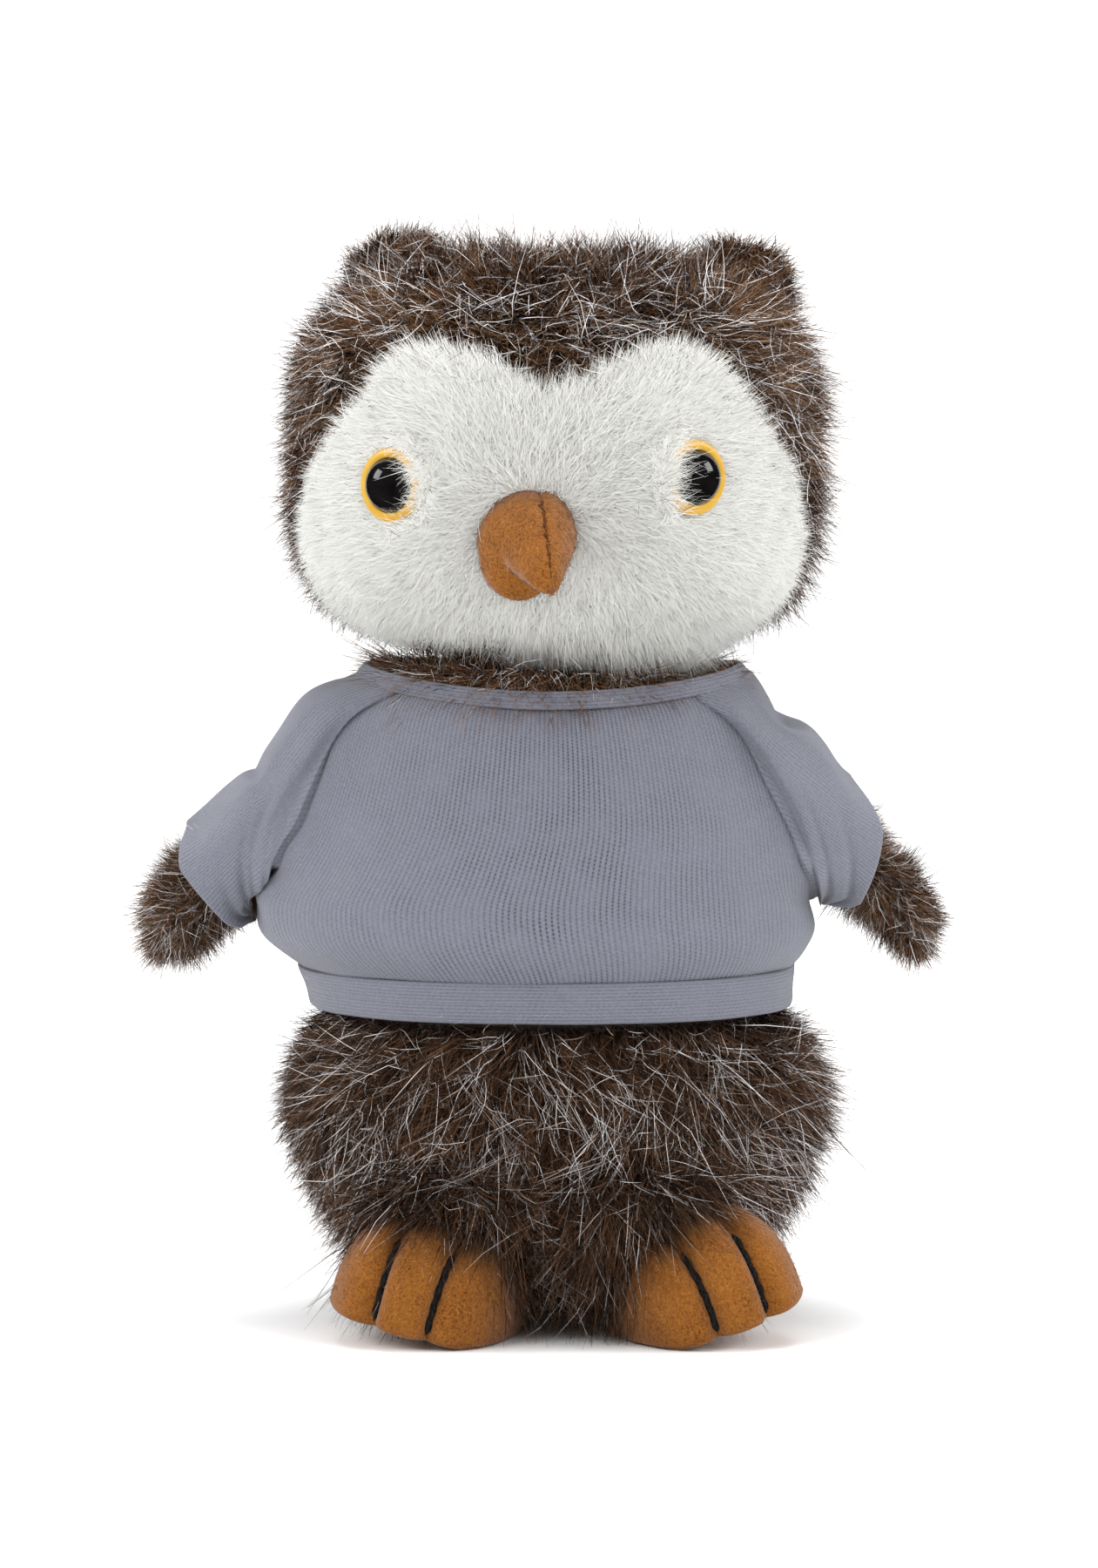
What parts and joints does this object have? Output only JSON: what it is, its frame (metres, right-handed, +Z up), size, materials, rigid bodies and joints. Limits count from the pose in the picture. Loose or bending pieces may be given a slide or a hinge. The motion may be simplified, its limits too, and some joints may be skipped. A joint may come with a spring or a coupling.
{
  "type": "plush owl",
  "caption": "Standing plush owl of long brown fur with a white face, a stuffed tan beak and feet with stitched toes, safety eyes, and a grey knitted raglan shirt.",
  "frame": {"origin": "on the base panel's underside, on the floor, below the middle of the body and neck", "axes": "+Z up, the owl faces -Y, +X to the owl's own left"},
  "size_m": [0.1269, 0.0925, 0.1713],
  "materials": {
    "brown_fur": "long brown pile with silver guard hairs",
    "white_pile": "short dense white pile",
    "tan_fleece": "short napped fleece",
    "grey_jersey": "matte fine-ribbed knit",
    "yellow_plastic": "glossy",
    "black_plastic": "high gloss",
    "washer_nylon": "matte",
    "black_thread": "thick twisted thread",
    "white_fill": "loose fibre",
    "bag_cloth": "plain weave over pellets"
  },
  "bodies": {
    "torso": {"base_panel": "brown_fur", "body_fur": "brown_fur", "body_stuffing": "white_fill", "pellet_bag": "bag_cloth", "shirt_front": "grey_jersey", "shirt_back": "grey_jersey", "neckband": "grey_jersey", "hem_band": "grey_jersey", "foot_left": "tan_fleece", "foot_right": "tan_fleece", "foot_stuffing_left": "white_fill", "foot_stuffing_right": "white_fill", "sole_left": "tan_fleece", "sole_right": "tan_fleece", "toe_stitch_left_inner": "black_thread", "toe_stitch_left_outer": "black_thread", "toe_stitch_right_inner": "black_thread", "toe_stitch_right_outer": "black_thread"},
    "head": {"head_fur": "brown_fur", "face_panel": "white_pile", "head_stuffing": "white_fill", "ear_left": "brown_fur", "ear_right": "brown_fur", "beak_left": "tan_fleece", "beak_right": "tan_fleece", "beak_stuffing": "white_fill", "eye_ring_left": "yellow_plastic", "eye_ring_right": "yellow_plastic", "eye_dome_left": "black_plastic", "eye_dome_right": "black_plastic", "eye_washer_left": "washer_nylon", "eye_washer_right": "washer_nylon"},
    "left_wing": {"wing_left": "brown_fur", "sleeve_left": "grey_jersey"},
    "right_wing": {"wing_right": "brown_fur", "sleeve_right": "grey_jersey"}
  },
  "joints": [
    {"name": "head_turn", "type": "hinge", "parent": "torso", "child": "head", "pos_m": [0, 0, 0.1025], "axis": [0, 0, 1], "range_deg": [-20, 20], "stiffness_Nm_per_rad": 0.02},
    {"name": "wing_left_lift", "type": "hinge", "parent": "torso", "child": "left_wing", "pos_m": [0.034, 0, 0.097], "axis": [0, -1, 0], "range_deg": [0, 60], "stiffness_Nm_per_rad": 0.003, "springref_deg": -20.05},
    {"name": "wing_right_lift", "type": "hinge", "parent": "torso", "child": "right_wing", "pos_m": [-0.034, 0, 0.097], "axis": [0, 1, 0], "range_deg": [0, 60], "stiffness_Nm_per_rad": 0.003, "springref_deg": -20.05}
  ]
}
